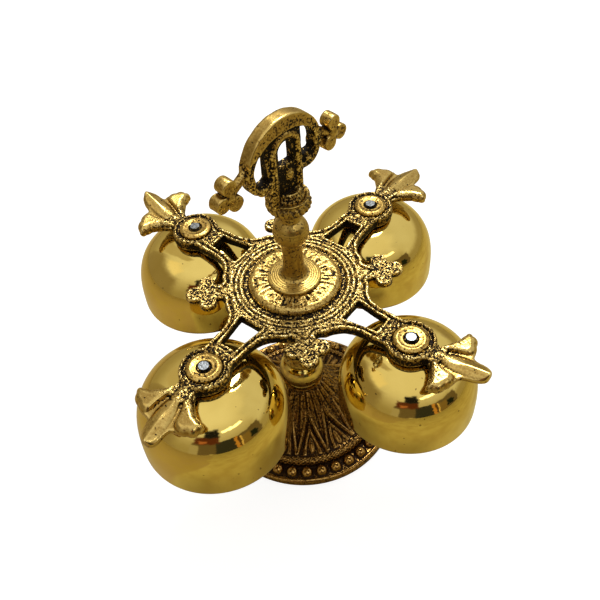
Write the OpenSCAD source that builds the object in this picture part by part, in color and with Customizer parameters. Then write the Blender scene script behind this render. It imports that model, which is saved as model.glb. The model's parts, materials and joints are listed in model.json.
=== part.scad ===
// Four-chime altar bell set: four tuned bells hang from a cast cross frame on a
// pedestal foot, and the set is lifted and twisted by a pierced grip on a turned stem.
// Millimetres, +Z up, origin at the centre of the foot's underside, one arm on each of
// +X (right), +Y (back), -X (left) and -Y (front).

/* [Bells] */
// Radius of the front bell's widest ring
bell_r_front = 38.8; // [34:0.1:40]
// Radius of the right bell
bell_r_right = 35.3; // [34:0.1:40]
// Radius of the back bell
bell_r_back = 36.6; // [34:0.1:40]
// Radius of the left bell
bell_r_left = 37; // [34:0.1:40]
// Wall thickness of a bell
bell_wall = 2.2; // [1.8:0.1:2.6]
// Height of a bell from mouth to crown, as a share of its radius
bell_height_share = 1.12; // [1.1:0.005:1.25]
// Exponent of the superellipse that shapes the dome
bell_squareness = 2.8; // [2.4:0.1:3.2]

/* [Cross frame] */
// Distance from the stem's axis to each bell's axis
arm_reach = 70; // [66:0.5:74]
// Distance from the stem's axis to a fleur-de-lis tip
fleur_reach = 114.5; // [110:0.5:118]
// Height of the frame's underside above the table
frame_bottom = 110.4; // [106:0.2:114]
// Thickness of the frame's ribs
frame_thick = 5.2; // [4.4:0.1:6]
// Radius of the hub's outer moulding
hub_r = 33; // [31:0.5:34]
// Radius of the round boss at each arm's end
boss_r = 12.6; // [11:0.1:13]

/* [Foot] */
// Radius of the foot's rim
foot_r = 54.3; // [50:0.1:58]
// Height of the foot
foot_height = 34; // [30:0.5:38]
// Number of beads round the foot
bead_count = 35; // [24:1:40]
// Radius of one bead
bead_r = 3.3; // [2.4:0.1:3.6]

/* [Stem and grip] */
// Radius of the knop under the frame
knop_r = 13; // [11:0.5:15]
// Radius of the turned stem's plain stretch
stem_r = 5.2; // [4.8:0.1:6]
// Radius of the ball on the stem
stem_ball_r = 9; // [8:0.1:10]
// Radius of the cup that holds the grip
cup_r = 10.8; // [10:0.1:12]
// Thickness of the grip's casting
grip_thick = 6.6; // [5.6:0.1:8]
// Turn of the grip about the stem, from the X axis
grip_turn = 82; // [0:1:90]
// Radius of the grip's round arch
grip_arch_r = 20.8; // [18:0.1:22]

/* [Clappers] */
// Radius of a clapper's ball
ball_r = 8; // [6:0.1:8.4]
// Radius of a clapper's rod
rod_r = 1.3; // [1:0.1:1.5]
// Radius of the pin that a clapper swings on
pin_r = 1; // [0.8:0.05:1.2]
// Height of the ball's centre above the bell's mouth
ball_above_mouth = 2; // [1:0.5:8]

/* [Hidden] */
$fn = 64;

// Arms in the order front, right, back, left
FRONT = 0;
RIGHT = 1;
BACK = 2;
LEFT = 3;
arm_angle = [-90, 0, 90, 180];
bell_r = [bell_r_front, bell_r_right, bell_r_back, bell_r_left];

// Bell: crown under the frame, a superellipse dome, then a short straight lip
washer_thick = 0.6;
crown_z = frame_bottom - washer_thick;
lip_share = 0.16;
dome_steps = 20;
lip_thicker = 0.5;
function bell_height(i) = bell_height_share * bell_r[i];
function mouth_z(i) = crown_z - bell_height(i);
function equator_z(i) = mouth_z(i) + lip_share * bell_r[i];
function dome_r(r, rise, t) = r * pow(1 - pow(t, bell_squareness), 1 / bell_squareness);
function dome(r, rise, base) =
    [for (s = [0:dome_steps]) let (t = sin(90 * s / dome_steps)) [dome_r(r, rise, t), base + rise * t]];

// Stud, nuts and clapper joint
stud_r = 2.5;
stud_hole_r = 2.65;
frame_top = frame_bottom + frame_thick;
boss_nut_r = 8.7;
boss_nut_high = 2;
stud_top = frame_top + 2.6;
nut_flats = 8;
nut_high = 4;
crown_inside = crown_z - bell_wall;
pivot_z = 98.5;
fork_r = 4.5;
fork_flat = 3.8;
fork_top = crown_inside - nut_high - 0.2;
fork_bottom = pivot_z - 3.6;
slot_wide = 3.3;
eye_r = 3.1;
eye_gap = 0.6;
pin_clearance = 0.05;

// Centre line
tie_r = 3;
tie_hole_r = 3.2;
tie_bottom = 18;
tie_top = 141;
foot_seat = 27.5;
foot_washer_high = 1.2;
foot_nut_high = 5;
knop_top = 52;
hub_top = frame_bottom + 8;
groove_floor = frame_bottom + 3.8;
plateau_r = 24.8;
groove_r = 27.2;
flange_r = 13.8;
flange_z = hub_top + 2.9;
ball_z = 150.6;
neck_z = 160.5;
cup_bottom = 163.5;
cup_top = 173;
cup_bore_r = 6;
cup_floor = 169;
grip_base = 173.6;
grip_offset = -1.6;

// Position on an arm: +X runs outwards along the arm, Z is the table's height
module on_arm(i) {
    rotate([0, 0, arm_angle[i]]) translate([arm_reach, 0, 0]) children();
}

module turned(outline) {
    rotate_extrude($fn = 96) polygon(outline);
}

module ring(big_r, small_r, z) {
    translate([0, 0, z]) rotate_extrude($fn = 96) translate([big_r, 0]) circle(small_r, $fn = 24);
}

// Foot: hollow concave cone with a beaded rim
foot_rim_high = 4;
foot_cone_r = 41;
foot_neck_r = 11.5;
foot_cone_z = 9;
foot_curve = 1.9;
foot_steps = 12;
foot_skin = 3;
function cone_z(r) = foot_cone_z
    + (foot_height - foot_cone_z) * pow(1 - (r - foot_neck_r) / (foot_cone_r - foot_neck_r), foot_curve);
cone_outside = [for (s = [0:foot_steps])
    let (r = foot_cone_r + (foot_neck_r - foot_cone_r) * s / foot_steps) [r, cone_z(r)]];
cone_inside = [for (s = [foot_steps - 3:-1:0])
    let (r = foot_cone_r + (foot_neck_r - foot_cone_r) * s / foot_steps)
    [r - foot_skin / 2, min(cone_z(r) - foot_skin, foot_seat)]];

module foot() {
    color([0.62, 0.48, 0.2])
    difference() {
        union() {
            turned(concat(
                [[0, 0], [foot_r, 0], [foot_r, foot_rim_high - 1], [foot_r - 1, foot_rim_high],
                 [foot_cone_r + 3.4, foot_rim_high + 0.6], [foot_cone_r + 2.6, foot_cone_z]],
                cone_outside, [[0, foot_height]]));
            for (b = [0:bead_count - 1])
                rotate([0, 0, 360 * b / bead_count])
                    translate([foot_r - 6, 0, foot_rim_high + 1]) sphere(bead_r, $fn = 24);
        }
        turned(concat([[0, foot_seat], [8.5, foot_seat]], cone_inside, [[foot_r - 5, -1], [0, -1]]));
        translate([0, 0, foot_seat - 1]) cylinder(r = tie_hole_r, h = foot_height);
    }
}

module foot_washer() {
    color([0.75, 0.75, 0.77])
    translate([0, 0, foot_seat - foot_washer_high])
    difference() {
        cylinder(r = 7, h = foot_washer_high);
        translate([0, 0, -1]) cylinder(r = tie_hole_r, h = foot_washer_high + 2);
    }
}

module foot_nut() {
    color([0.72, 0.72, 0.74])
    translate([0, 0, foot_seat - foot_washer_high - foot_nut_high])
    difference() {
        cylinder(r = 5 / cos(30), h = foot_nut_high, $fn = 6);
        translate([0, 0, -1]) cylinder(r = tie_r + 0.02, h = foot_nut_high + 2);
    }
}

// Knop: collar, ball and neck turned in one
module knop() {
    knop_z = 43.5;
    color([0.83, 0.63, 0.24])
    difference() {
        union() {
            translate([0, 0, foot_height]) cylinder(r = 9.8, h = 1.8);
            ring(9.4, 0.8, foot_height + 1);
            translate([0, 0, foot_height]) cylinder(r = 8.4, h = knop_top - foot_height);
            translate([0, 0, knop_z]) scale(knop_r / 10) sphere(10 * 0.6, $fn = 48);
            turned([[0, knop_z - 6.6], [9.4, knop_z - 6.6], [knop_r - 0.7, knop_z - 3],
                    [knop_r, knop_z], [knop_r - 0.7, knop_z + 3], [9, knop_z + 7], [0, knop_z + 7]]);
        }
        translate([0, 0, foot_height - 1]) cylinder(r = tie_hole_r, h = knop_top);
    }
}

// Column: plain shaft with a ring at its foot and a bracket that carries the hub
module column() {
    color([0.7, 0.54, 0.22])
    difference() {
        union() {
            turned([[0, knop_top], [10, knop_top], [10, knop_top + 2.4], [7.4, knop_top + 4.5],
                    [6.6, 78], [7.4, 98], [9.6, 103], [15.5, 107.4], [15.5, frame_bottom],
                    [0, frame_bottom]]);
            ring(7.2, 1.3, 76);
        }
        translate([0, 0, knop_top - 1]) cylinder(r = tie_hole_r, h = frame_bottom);
    }
}

module tie_rod() {
    color([0.7, 0.7, 0.72])
    translate([0, 0, tie_bottom]) cylinder(r = tie_r, h = tie_top - tie_bottom);
}

// Outline of a petal or bud in plan
module leaf(length, half_wide) {
    swing = (length * length / 4 + half_wide * half_wide) / (2 * half_wide);
    intersection() {
        translate([length / 2, swing - half_wide]) circle(swing, $fn = 96);
        translate([length / 2, half_wide - swing]) circle(swing, $fn = 96);
    }
}

// Arm plan: ribs that widen into the hub, round boss, neck and fleur-de-lis
bay_r = 14.5;
bay_far = 47.3;
bay_near = 24;
window_in = 35.5;
window_out = 53;
neck_in = 80;
neck_out = 90;
petal_r = 8.8;
petal_at = [96, 9.8];
petal_cut_r = 8.8;
petal_cut_at = [86.2, 16.4];

module side_petal() {
    difference() {
        translate(petal_at) circle(petal_r);
        translate(petal_cut_at) circle(petal_cut_r);
    }
}

module arm_plan() {
    polygon([[0, 25], [25, 25], [48, 9.3], [60, 8.6], [60, -8.6], [48, -9.3], [25, -25], [0, -25]]);
    translate([arm_reach, 0]) circle(boss_r);
    polygon([[neck_in, 5.6], [neck_out, 4.8], [neck_out, -4.8], [neck_in, -5.6]]);
    translate([84, 0]) leaf(fleur_reach - 84, 5.3);
    side_petal();
    mirror([0, 1]) side_petal();
}

module window_plan() {
    polygon([[window_in, 6.7], [window_out, 4.4], [window_out, -4.4], [window_in, -6.7]]);
}

// Three-lobed bud on the diagonal between two arms
lobe_r = 4.6;
module bud_plan() {
    rotate(45) translate([hub_r - 3, -5.3]) square([16, 10.6]);
    translate([33, 33]) circle(5.2);
    translate([37, 37]) circle(lobe_r);
    translate([38, 27]) circle(lobe_r);
    translate([27, 38]) circle(lobe_r);
}

module frame_plan() {
    difference() {
        union() {
            for (i = [FRONT:LEFT]) rotate(arm_angle[i]) arm_plan();
            circle(hub_r);
        }
        for (i = [FRONT:LEFT]) rotate(arm_angle[i]) {
            translate([bay_far, bay_near]) circle(bay_r);
            translate([bay_near, bay_far]) circle(bay_r);
            window_plan();
        }
    }
    for (i = [FRONT:LEFT]) rotate(arm_angle[i]) bud_plan();
}

module cross_frame() {
    color([0.78, 0.6, 0.25])
    difference() {
        union() {
            translate([0, 0, frame_bottom]) linear_extrude(frame_thick) frame_plan();
            for (i = [FRONT:LEFT]) on_arm(i) ring(boss_r - 1.5, 0.9, frame_top);
            translate([0, 0, frame_bottom]) cylinder(r = plateau_r, h = hub_top - frame_bottom);
            ring(hub_r - 2.6, 1.6, frame_top);
        }
        translate([0, 0, groove_floor]) difference() {
            cylinder(r = groove_r, h = 10);
            translate([0, 0, -1]) cylinder(r = plateau_r, h = 12);
        }
        translate([0, 0, frame_bottom - 1]) cylinder(r = tie_hole_r, h = 20);
        for (i = [FRONT:LEFT]) on_arm(i)
            translate([0, 0, frame_bottom - 1]) cylinder(r = stud_hole_r, h = 20);
    }
}

// Turned stem: flange, shaft, ball, neck and the cup that takes the grip
module handle_stem() {
    color([0.8, 0.62, 0.26])
    difference() {
        union() {
            turned([[0, hub_top], [flange_r, hub_top], [flange_r, hub_top + 1.6], [stem_r + 1, flange_z],
                    [stem_r, flange_z + 2], [stem_r, ball_z - 6], [0, ball_z - 6]]);
            translate([0, 0, ball_z]) sphere(stem_ball_r, $fn = 48);
            turned([[0, ball_z], [4.9, ball_z], [4.9, neck_z + 1.5], [7, cup_bottom + 0.6],
                    [cup_r - 0.8, cup_bottom + 2.4], [cup_r, cup_bottom + 5], [cup_r, cup_bottom + 7],
                    [cup_r - 1.4, cup_top], [0, cup_top]]);
        }
        translate([0, 0, hub_top - 1]) cylinder(r = tie_r + 0.02, h = tie_top + 1.5 - hub_top + 1);
        translate([0, 0, cup_floor]) cylinder(r = cup_bore_r, h = 20);
        translate([0, 0, 158]) cylinder(r = 2.02, h = 20);
    }
}

module grip_stud() {
    color([0.7, 0.7, 0.72])
    translate([0, 0, 158.5]) cylinder(r = 2, h = 20);
}

// Grip: pierced plate with a half-round arch, two side lobes, three lights and
// a three-lobed bud at each end; its spigot drops into the stem's cup
arch_z = 196.2;
light_low = 190.4;
module grip_half() {
    translate([12.5, 192.2]) circle(7.8);
    polygon([[0, grip_base], [8.4, grip_base], [9.4, 184], [9.4, 200], [0, 200]]);
    polygon([[16, 203], [23, 198], [30, 195], [30, 190.4], [23, 192.4], [18, 190]]);
    translate([31.6, 192.6]) circle(3.8);
    translate([31.5, 198.4]) circle(3.9);
    translate([35.8, 191.4]) circle(4);
    translate([28.8, 188.4]) circle(4.1);
}

module side_light() {
    translate([13.4, 201.4]) circle(3.6);
    translate([9.8, light_low]) square([7.2, 11]);
}

module grip_plan() {
    difference() {
        union() {
            intersection() {
                translate([0, arch_z]) circle(grip_arch_r, $fn = 96);
                translate([-30, 190]) square([60, 40]);
            }
            grip_half();
            mirror([1, 0]) grip_half();
        }
        translate([0, 200.3]) circle(5.2);
        translate([-5.2, light_low]) square([10.4, 10]);
        side_light();
        mirror([1, 0]) side_light();
    }
}

module grip() {
    color([0.66, 0.5, 0.2])
    difference() {
        union() {
            rotate([0, 0, grip_turn]) rotate([90, 0, 0]) translate([grip_offset, 0, -grip_thick / 2])
                linear_extrude(grip_thick) grip_plan();
            translate([0, 0, cup_floor + 0.1]) cylinder(r = cup_bore_r - 0.1, h = 9);
            translate([0, 0, grip_base]) cylinder(r1 = 8.8, r2 = 6.4, h = 4);
        }
        translate([0, 0, 160]) cylinder(r = 2.02, h = 19);
    }
}

// One bell: dome and lip as a shell with a hole in its crown
module bell(i) {
    r = bell_r[i];
    base = equator_z(i);
    rise = crown_z - base;
    mouth = mouth_z(i);
    inner_r = r - bell_wall;
    color([0.9, 0.72, 0.3])
    on_arm(i)
    difference() {
        turned(concat([[0, mouth], [r - 0.3, mouth]], dome(r, rise, base)));
        turned(concat([[0, mouth - 1], [inner_r - lip_thicker, mouth - 1], [inner_r - lip_thicker, mouth + 1.5]],
                      dome(inner_r, rise - bell_wall, base)));
        translate([0, 0, crown_z - 2 * bell_wall]) cylinder(r = stud_hole_r, h = 4 * bell_wall);
    }
}

// Hanger: threaded stud above, slotted fork below
module hanger(i) {
    color([0.78, 0.78, 0.8])
    on_arm(i)
    difference() {
        union() {
            translate([0, 0, fork_top - 0.5]) cylinder(r = stud_r, h = stud_top - fork_top + 0.5);
            intersection() {
                translate([0, 0, fork_bottom]) cylinder(r = fork_r, h = fork_top - fork_bottom);
                translate([0, 0, fork_bottom]) cube([2 * fork_flat, 20, 40], center = true);
            }
        }
        translate([-slot_wide / 2, -10, fork_bottom - 1])
            cube([slot_wide, 20, pivot_z + eye_r + eye_gap - fork_bottom + 1]);
        translate([-10, 0, pivot_z]) rotate([0, 90, 0]) cylinder(r = pin_r + 0.02, h = 20);
    }
}

function ball_centre(i) = mouth_z(i) + ball_above_mouth;

module clapper_rod(i) {
    color([0.7, 0.7, 0.72])
    on_arm(i)
    difference() {
        union() {
            translate([-rod_r, 0, pivot_z]) rotate([0, 90, 0]) cylinder(r = eye_r, h = 2 * rod_r);
            translate([0, 0, ball_centre(i)]) cylinder(r = rod_r, h = pivot_z - ball_centre(i) - 1.6);
        }
        translate([-10, 0, pivot_z]) rotate([0, 90, 0]) cylinder(r = pin_r + pin_clearance, h = 20);
    }
}

module clapper_ball(i) {
    color([0.82, 0.62, 0.24])
    on_arm(i)
    difference() {
        translate([0, 0, ball_centre(i)]) sphere(ball_r, $fn = 48);
        translate([0, 0, ball_centre(i) - 0.1]) cylinder(r = rod_r + 0.02, h = 2 * ball_r);
    }
}

// Round nuts that sit in the bosses on top of the frame, one to a stud
module boss_nuts() {
    color([0.9, 0.74, 0.34])
    for (i = [FRONT:LEFT]) on_arm(i)
        translate([0, 0, frame_top])
        difference() {
            cylinder(r = boss_nut_r, h = boss_nut_high);
            translate([0, 0, -1]) cylinder(r = stud_r + 0.02, h = boss_nut_high + 2);
            translate([0, 0, boss_nut_high - 1]) cylinder(r1 = stud_r + 0.02, r2 = stud_r + 1.3, h = 1.02);
        }
}

// Thin washers between each bell's crown and its boss
module crown_washers() {
    color([0.35, 0.22, 0.12])
    for (i = [FRONT:LEFT]) on_arm(i)
        translate([0, 0, crown_z])
        difference() {
            cylinder(r = 7.5, h = washer_thick);
            translate([0, 0, -1]) cylinder(r = stud_hole_r, h = washer_thick + 2);
        }
}

module crown_nuts() {
    color([0.72, 0.72, 0.74])
    for (i = [FRONT:LEFT]) on_arm(i)
        translate([0, 0, crown_inside - nut_high - 0.15])
        difference() {
            cylinder(r = nut_flats / 2 / cos(30), h = nut_high, $fn = 6);
            translate([0, 0, -1]) cylinder(r = stud_r + 0.02, h = nut_high + 2);
        }
}

// Riveted pins, each across one fork
module clapper_pins() {
    color([0.7, 0.7, 0.72])
    for (i = [FRONT:LEFT]) on_arm(i)
        translate([0, 0, pivot_z]) rotate([0, 90, 0]) {
            translate([0, 0, -fork_flat - 0.3]) cylinder(r = pin_r, h = 2 * fork_flat + 0.6);
            translate([0, 0, fork_flat]) cylinder(r = 1.6, h = 0.7);
            translate([0, 0, -fork_flat - 0.7]) cylinder(r = 1.6, h = 0.7);
        }
}

foot();
foot_washer();
foot_nut();
knop();
column();
tie_rod();
cross_frame();
handle_stem();
grip_stud();
grip();
bell(FRONT);  // bell_front
bell(RIGHT);  // bell_right
bell(BACK);  // bell_back
bell(LEFT);  // bell_left
hanger(FRONT);  // hanger_front
hanger(RIGHT);  // hanger_right
hanger(BACK);  // hanger_back
hanger(LEFT);  // hanger_left
clapper_rod(FRONT);  // clapper_rod_front
clapper_rod(RIGHT);  // clapper_rod_right
clapper_rod(BACK);  // clapper_rod_back
clapper_rod(LEFT);  // clapper_rod_left
clapper_ball(FRONT);  // clapper_ball_front
clapper_ball(RIGHT);  // clapper_ball_right
clapper_ball(BACK);  // clapper_ball_back
clapper_ball(LEFT);  // clapper_ball_left
boss_nuts();
crown_washers();
crown_nuts();
clapper_pins();
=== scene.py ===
"""Four-chime altar bell set: sculpted brass castings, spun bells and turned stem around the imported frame."""

import json
import math

import bpy
import numpy as np
from mathutils import Matrix, Vector


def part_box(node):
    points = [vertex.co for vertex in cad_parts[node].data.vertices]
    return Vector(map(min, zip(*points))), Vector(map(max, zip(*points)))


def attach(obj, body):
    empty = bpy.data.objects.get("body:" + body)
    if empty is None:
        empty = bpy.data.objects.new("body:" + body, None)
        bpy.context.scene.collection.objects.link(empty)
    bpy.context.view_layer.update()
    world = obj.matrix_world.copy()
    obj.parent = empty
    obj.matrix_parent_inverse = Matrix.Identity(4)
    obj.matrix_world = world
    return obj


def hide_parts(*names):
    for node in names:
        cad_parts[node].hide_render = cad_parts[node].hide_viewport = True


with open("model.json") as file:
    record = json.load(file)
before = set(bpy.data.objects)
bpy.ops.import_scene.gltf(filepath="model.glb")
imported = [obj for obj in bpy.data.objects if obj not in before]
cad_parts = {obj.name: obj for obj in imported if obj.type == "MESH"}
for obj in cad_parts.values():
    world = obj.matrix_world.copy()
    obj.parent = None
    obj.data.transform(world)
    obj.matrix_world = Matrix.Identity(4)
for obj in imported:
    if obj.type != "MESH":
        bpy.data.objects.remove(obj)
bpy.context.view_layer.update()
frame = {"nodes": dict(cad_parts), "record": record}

# ---------------------------------------------------------------- sizes, in millimetres
MM = 0.001
ARMS = ("front", "right", "back", "left")
ARM_TURN = {"front": -90.0, "right": 0.0, "back": 90.0, "left": 180.0}


def box_mm(node):
    """Lowest and highest corner of a CAD node, in millimetres."""
    low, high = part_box(node)
    return np.array(low) / MM, np.array(high) / MM


FRAME_LOW, FRAME_HIGH = box_mm("cross_frame")
NUT_LOW, NUT_HIGH = box_mm("boss_nuts")
BALL_LOW, BALL_HIGH = box_mm("clapper_ball_right")
# The right clapper's ball hangs on the boss's axis, so its two sides add up to twice the arm's reach
BOSS_DISC_R = (NUT_HIGH[0] - NUT_LOW[0] - (BALL_HIGH[0] + BALL_LOW[0])) / 2
ARM_REACH = NUT_HIGH[0] - BOSS_DISC_R
FLEUR_REACH = FRAME_HIGH[0]
FRAME_BOTTOM = FRAME_LOW[2]
PLATEAU_TOP = FRAME_HIGH[2]
FRAME_TOP = NUT_LOW[2]

# Edge of a cell of the castings' distance fields
FINE = 0.45


# ---------------------------------------------------------------- mesh tools
def make_mesh(name, points, faces):
    """A smooth-shaded mesh object from points in millimetres and an array of quads."""
    mesh = bpy.data.meshes.new(name)
    mesh.vertices.add(len(points))
    mesh.vertices.foreach_set("co", (np.asarray(points, np.float64) * MM).astype(np.float32).ravel())
    sides = faces.shape[1]
    mesh.loops.add(faces.size)
    mesh.loops.foreach_set("vertex_index", faces.astype(np.int32).ravel())
    mesh.polygons.add(len(faces))
    mesh.polygons.foreach_set("loop_start", np.arange(0, faces.size, sides, dtype=np.int32))
    mesh.update(calc_edges=True)
    mesh.validate()
    mesh.shade_smooth()
    piece = bpy.data.objects.new(name, mesh)
    bpy.context.scene.collection.objects.link(piece)
    return piece


def points_mm(mesh):
    """The mesh's vertices, in millimetres."""
    points = np.empty(len(mesh.vertices) * 3, np.float32)
    mesh.vertices.foreach_get("co", points)
    return points.reshape(-1, 3) / MM


def store(piece, name, values):
    """Keeps one number for each vertex, for the materials to read."""
    layer = piece.data.attributes.new(name, "FLOAT", "POINT")
    layer.data.foreach_set("value", values.astype(np.float32))


def mark_hollows(piece, fine_rounds=10, broad_rounds=60):
    """Stores how far each vertex lies below its close surroundings ("groove") and its wide ones ("hollow"),
    in millimetres, above 0 in a hollow and below 0 on an edge. Returns the vertex normals."""
    mesh = piece.data
    count = len(mesh.vertices)
    points = points_mm(mesh)
    normals = np.empty(count * 3, np.float32)
    mesh.vertex_normals.foreach_get("vector", normals)
    normals = normals.reshape(-1, 3)
    edges = np.empty(len(mesh.edges) * 2, np.int32)
    mesh.edges.foreach_get("vertices", edges)
    first, second = edges[0::2], edges[1::2]
    degree = np.bincount(first, minlength=count) + np.bincount(second, minlength=count)
    degree = np.maximum(degree, 1)
    smooth = points.astype(np.float64)
    for step in range(1, broad_rounds + 1):
        mean = np.empty_like(smooth)
        for axis in range(3):
            column = smooth[:, axis]
            mean[:, axis] = np.bincount(first, column[second], count)
            mean[:, axis] += np.bincount(second, column[first], count)
        smooth = 0.5 * smooth + 0.5 * mean / degree[:, None]
        if step == fine_rounds:
            store(piece, "groove", ((smooth - points) * normals).sum(1))
    store(piece, "hollow", ((smooth - points) * normals).sum(1))
    return normals


# ---------------------------------------------------------------- distance fields
def blend_min(a, b, soft):
    """Union of two distance fields with a fillet of about soft millimetres."""
    h = np.clip(0.5 + 0.5 * (b - a) / soft, 0, 1)
    return b * (1 - h) + a * h - soft * h * (1 - h)


def blend_max(a, b, soft):
    """Intersection of two distance fields, rounded over about soft millimetres."""
    return -blend_min(-a, -b, soft)


def ease(value, low, high):
    """Rises smoothly from 0 at low to 1 at high."""
    t = np.clip((value - low) / (high - low), 0, 1)
    return t * t * (3 - 2 * t)


def bead(distance, centre, half):
    """Height from 0 to 1 of a round bead whose middle is at that distance."""
    return np.sqrt(np.clip(1 - ((distance - centre) / half) ** 2, 0, 1))


def groove(distance, centre, half):
    """Depth from 0 to 1 of an engraved line."""
    return np.exp(-(((distance - centre) / half) ** 2))


def polygon_field(x, y, corners):
    """Signed distance to a polygon, below 0 inside."""
    nearest = np.full(np.broadcast(x, y).shape, 1e9)
    inside = np.zeros(nearest.shape, bool)
    for (ax, ay), (bx, by) in zip(corners, corners[1:] + corners[:1]):
        ex, ey = bx - ax, by - ay
        t = np.clip(((x - ax) * ex + (y - ay) * ey) / (ex * ex + ey * ey), 0, 1)
        nearest = np.minimum(nearest, np.hypot(x - ax - t * ex, y - ay - t * ey))
        if ay != by:
            inside ^= ((ay > y) != (by > y)) & (x < ex * (y - ay) / (by - ay) + ax)
    return np.where(inside, -nearest, nearest)


def limb_field(x, y, z, path):
    """A limb of round sections: path holds (x, y, z, radius)."""
    parts = []
    for a, b in zip(path, path[1:]):
        run = np.array(b[:3]) - np.array(a[:3])
        dx, dy, dz = x - a[0], y - a[1], z - a[2]
        t = np.clip((dx * run[0] + dy * run[1] + dz * run[2]) / (run @ run), 0, 1)
        apart = np.sqrt((dx - t * run[0]) ** 2 + (dy - t * run[1]) ** 2 + (dz - t * run[2]) ** 2)
        parts.append(apart - (a[3] + t * (b[3] - a[3])))
    return np.minimum.reduce(parts)


def surface_net(field, low, cell):
    """Quads over the surface where the field passes zero: points in millimetres, and faces."""
    cells = np.array(field.shape) - 1
    flat_count = int(cells.prod())
    total = np.zeros((flat_count, 3))
    hits = np.zeros(flat_count)
    faces = []
    for axis in range(3):
        lower = [slice(None)] * 3
        upper = [slice(None)] * 3
        lower[axis] = slice(0, -1)
        upper[axis] = slice(1, None)
        start, end = field[tuple(lower)], field[tuple(upper)]
        at = np.argwhere((start < 0) != (end < 0))
        a, b = start[tuple(at.T)], end[tuple(at.T)]
        crossing = at.astype(float)
        crossing[:, axis] += a / (a - b)
        side_b, side_c = (axis + 1) % 3, (axis + 2) % 3
        corners = []
        for back_b, back_c in ((1, 1), (0, 1), (0, 0), (1, 0)):
            near = at.copy()
            near[:, side_b] -= back_b
            near[:, side_c] -= back_c
            index = (near[:, 0] * cells[1] + near[:, 1]) * cells[2] + near[:, 2]
            for column in range(3):
                total[:, column] += np.bincount(index, crossing[:, column], flat_count)
            hits += np.bincount(index, minlength=flat_count)
            corners.append(index)
        quads = np.stack(corners, 1)
        quads[a >= 0] = quads[a >= 0][:, ::-1]
        faces.append(quads)
    used = hits > 0
    number = np.cumsum(used) - 1
    points = total[used] / hits[used][:, None]
    return np.asarray(low) + points * cell, number[np.concatenate(faces)]


def noise(points, size, seed):
    """Smooth random values from -1 to 1 that vary over about size millimetres."""
    rng = np.random.default_rng(seed)
    lattice = rng.uniform(-1, 1, (32, 32, 32))
    place = points / size
    base = np.floor(place).astype(int)
    part = place - base
    part = part * part * (3 - 2 * part)
    value = 0
    for corner in range(8):
        step = np.array([corner & 1, corner >> 1 & 1, corner >> 2 & 1])
        weight = np.prod(np.where(step, part, 1 - part), axis=-1)
        value = value + weight * lattice[tuple(((base + step) % 32).T)]
    return value


# ---------------------------------------------------------------- turned pieces
def rounded(points, step):
    """A closed outline of (radius, height, corner rounding) points, with eased corners and divided runs."""
    spots = [np.array(p[:2], float) for p in points]
    easing = [p[2] if len(p) > 2 else 0.0 for p in points]
    line = []
    for i, spot in enumerate(spots):
        if easing[i] <= 0:
            line.append(spot)
            continue
        back, on = spots[i - 1] - spot, spots[(i + 1) % len(spots)] - spot
        reach_back = min(easing[i], np.linalg.norm(back) * 0.49)
        reach_on = min(easing[i], np.linalg.norm(on) * 0.49)
        a = spot + back / np.linalg.norm(back) * reach_back
        b = spot + on / np.linalg.norm(on) * reach_on
        pieces = max(3, int(np.ceil(1.6 * max(reach_back, reach_on) / step)))
        for t in np.linspace(0, 1, pieces + 1):
            line.append((1 - t) ** 2 * a + 2 * t * (1 - t) * spot + t * t * b)
    fine = []
    for a, b in zip(line, line[1:] + line[:1]):
        pieces = max(1, int(np.ceil(np.linalg.norm(b - a) / step)))
        for t in range(pieces):
            fine.append(a + (b - a) * t / pieces)
    return np.array(fine)


def turned(name, outline, segments, relief=None, centre=(0.0, 0.0)):
    """Spins a closed outline, which runs up the outside and down the inside, about a vertical axis.
    relief(turn, radius, height) lifts the surface along its normal."""
    angle = 2 * np.pi * np.arange(segments) / segments
    radius, height = outline[:, 0], outline[:, 1]
    along = np.roll(outline, -1, 0) - np.roll(outline, 1, 0)
    along /= np.maximum(np.linalg.norm(along, axis=1, keepdims=True), 1e-9)
    out_r, out_z = along[:, 1], -along[:, 0]
    turn, r = np.meshgrid(angle, radius, indexing="ij")
    z = np.broadcast_to(height, r.shape)
    if relief is not None:
        lift = relief(turn, r, z)
        r, z = r + lift * out_r, z + lift * out_z
    points = np.stack([centre[0] + r * np.cos(turn), centre[1] + r * np.sin(turn), z], -1)
    columns = len(outline)
    i, j = np.meshgrid(np.arange(segments), np.arange(columns), indexing="ij")
    here, on = i * columns, (i + 1) % segments * columns
    j_next = (j + 1) % columns
    faces = np.stack([here + j, on + j, on + j_next, here + j_next], -1)
    return make_mesh(name, points.reshape(-1, 3), faces.reshape(-1, 4))


# ---------------------------------------------------------------- cross frame
# Plans below are for one arm: along it from the centre, and beside it
HUB_R = 33.0
BAY = (47.3, 24.0, 14.5)  # round bay between arm and bud: its centre and radius
BOSS_R = 12.6
STUD_HOLE_R, TIE_HOLE_R = 2.9, 3.2
WINDOW = [(35.2, -6.9), (53.4, -4.5), (53.4, 4.5), (35.2, 6.9)]
WEB = [(0, -25), (25, -25), (48, -9.4), (60, -9.0), (72, -9.0),
       (72, 9.0), (60, 9.0), (48, 9.4), (25, 25), (0, 25)]
PLATEAU_R, MOAT_R = 24.0, 26.4
RING_LINES = (29.3, 31.8)
BUD_LOBES = ((36.8, 36.8, 4.8), (37.0, 27.4, 4.4), (27.4, 37.0, 4.4))
BUD_THICK = 3.2
SIDE_PETAL = ((86.5, 3.6, 3.2), (91.8, 6.8, 5.0), (95.8, 10.6, 5.9), (95.6, 14.8, 4.4), (94.2, 18.1, 2.0))


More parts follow.
